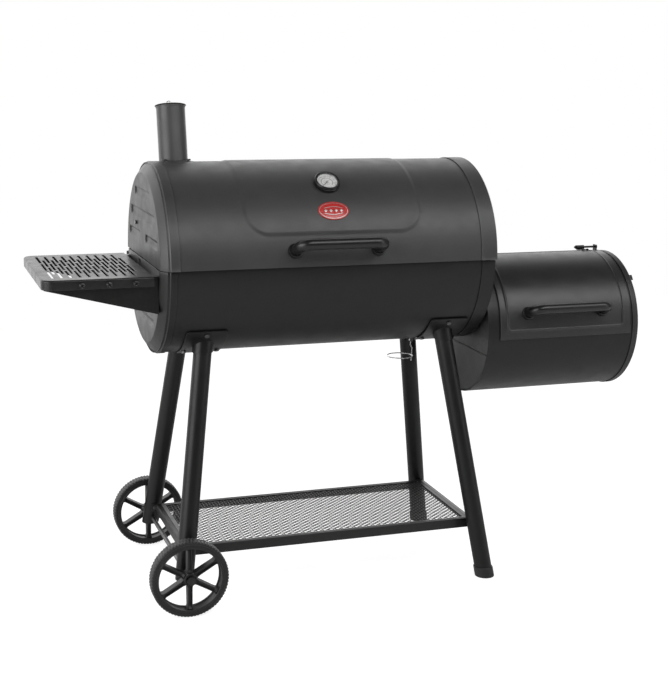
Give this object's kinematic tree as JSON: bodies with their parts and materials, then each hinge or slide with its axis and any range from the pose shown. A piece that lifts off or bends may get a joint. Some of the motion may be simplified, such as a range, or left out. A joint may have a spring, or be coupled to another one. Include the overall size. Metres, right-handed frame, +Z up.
{
  "type": "offset smoker",
  "caption": "Charcoal barrel smoker with hinged lid, thermometer, smokestack, side firebox, ash drawer, slotted side shelf, mesh bottom shelf and transport wheels on a splayed stand.",
  "frame": {"origin": "on the floor, under the middle of the bounding box", "axes": "+X along the barrel from the side shelf towards the firebox, +Y from the front to the rear hinge side, +Z up"},
  "size_m": [1.6956, 0.6284, 1.2942],
  "materials": {
    "body_coat": "satin high-temperature black",
    "frame_coat": "satin black powder coat",
    "shelf_coat": "satin charcoal powder coat",
    "inner_coat": "matt black, smoke darkened",
    "cast_iron": "seasoned",
    "zinc_steel": "black zinc",
    "wire": "nickel plated wire",
    "handle_plastic": "satin black heat-proof",
    "foot_plastic": "matt",
    "wheel_plastic": "matt moulded",
    "dial": "printed white",
    "needle": "matt",
    "lens": "clear",
    "badge": "red enamel"
  },
  "bodies": {
    "stand": {"base_shell": "body_coat", "base_cap_left": "body_coat", "base_cap_right": "body_coat", "saddle_front_left": "frame_coat", "saddle_front_right": "frame_coat", "saddle_rear_left": "frame_coat", "saddle_rear_right": "frame_coat", "leg_front_left": "frame_coat", "leg_front_right": "frame_coat", "leg_rear_left": "frame_coat", "leg_rear_right": "frame_coat", "foot_cap_front": "foot_plastic", "foot_cap_rear": "foot_plastic", "wheel_axle": "zinc_steel", "axle_hardware": "zinc_steel", "bottom_shelf_frame": "shelf_coat", "bottom_shelf_mesh": "shelf_coat", "side_shelf": "shelf_coat", "side_bracket_front": "frame_coat", "side_bracket_rear": "frame_coat", "tool_hooks": "zinc_steel", "frame_bolts": "zinc_steel", "grate_left": "cast_iron", "grate_middle": "cast_iron", "grate_right": "cast_iron", "grate_ledges": "inner_coat", "charcoal_tray": "inner_coat", "tray_stands": "inner_coat", "hinge_base_leaves": "body_coat", "hinge_pins": "zinc_steel", "duct_collar": "body_coat", "firebox_shell": "body_coat", "firebox_cap_left": "body_coat", "firebox_cap_right": "body_coat", "firebox_grate": "cast_iron", "firebox_hinge_brackets": "zinc_steel"},
    "lid": {"lid_shell": "body_coat", "lid_cap_left": "body_coat", "lid_cap_right": "body_coat", "lid_handle": "handle_plastic", "lid_handle_bushings": "handle_plastic", "hinge_lid_leaves": "body_coat", "lid_bolts": "zinc_steel", "thermometer_case": "handle_plastic", "thermometer_dial": "dial", "thermometer_lens": "lens", "lid_badge": "badge", "smokestack": "body_coat"},
    "thermometer_needle": {"thermometer_needle": "needle"},
    "stack_cap": {"stack_cap": "body_coat"},
    "warming_rack": {"warming_rack": "wire"},
    "rack_bail": {"rack_bail": "wire"},
    "firebox_door": {"firebox_door": "body_coat", "firebox_door_handle": "handle_plastic"},
    "ash_drawer": {"ash_drawer": "inner_coat", "drawer_handle": "handle_plastic"},
    "firebox_damper": {"firebox_damper": "body_coat"},
    "wheel_front": {"wheel_front": "wheel_plastic"},
    "wheel_rear": {"wheel_rear": "wheel_plastic"},
    "grease_hanger": {"grease_hanger": "wire"}
  },
  "joints": [
    {"name": "lid_hinge", "type": "hinge", "parent": "stand", "child": "lid", "pos_m": [-0.10975, 0.27421, 0.868], "axis": [-1, 0, 0], "range_deg": [0, 88]},
    {"name": "rack_pivot", "type": "hinge", "parent": "lid", "child": "warming_rack", "pos_m": [-0.10975, 0.09221, 0.975], "axis": [1, 0, 0], "range_deg": [0, 88]},
    {"name": "bail_pivot", "type": "hinge", "parent": "stand", "child": "rack_bail", "pos_m": [-0.10975, 0.05621, 0.876], "axis": [-1, 0, 0], "range_deg": [0, 88]},
    {"name": "thermometer_turn", "type": "hinge", "parent": "lid", "child": "thermometer_needle", "pos_m": [-0.10675, -0.14717, 1.08971], "axis": [0, -0.6046, 0.7965], "range_deg": [-265, 5]},
    {"name": "stack_cap_swing", "type": "hinge", "parent": "lid", "child": "stack_cap", "pos_m": [-0.45075, 0.12119, 1.27448], "axis": [0, 0.2164, 0.9763], "range_deg": [0, 110]},
    {"name": "firebox_door_hinge", "type": "hinge", "parent": "stand", "child": "firebox_door", "pos_m": [0.58825, 0.04421, 0.872], "axis": [-1, 0, 0], "range_deg": [0, 130]},
    {"name": "ash_drawer_slide", "type": "slide", "parent": "stand", "child": "ash_drawer", "axis": [1, 0, 0], "range_m": [0, 0.4]},
    {"name": "firebox_damper_turn", "type": "hinge", "parent": "stand", "child": "firebox_damper", "pos_m": [0.81575, 0.00821, 0.719], "axis": [1, 0, 0], "range_deg": [0, 60]},
    {"name": "wheel_front_spin", "type": "hinge", "parent": "stand", "child": "wheel_front", "pos_m": [-0.50636, -0.26979, 0.1016], "axis": [0, 1, 0], "continuous": true},
    {"name": "wheel_rear_spin", "type": "hinge", "parent": "stand", "child": "wheel_rear", "pos_m": [-0.50636, 0.28621, 0.1016], "axis": [0, 1, 0], "continuous": true},
    {"name": "grease_hanger_swing", "type": "hinge", "parent": "stand", "child": "grease_hanger", "pos_m": [0.20125, 0.00821, 0.63], "axis": [0, 1, 0], "range_deg": [-25, 25]}
  ],
  "couplings": [
    {"joint": "rack_pivot", "follows": "lid_hinge", "ratio": 1},
    {"joint": "bail_pivot", "follows": "lid_hinge", "ratio": 1}
  ]
}
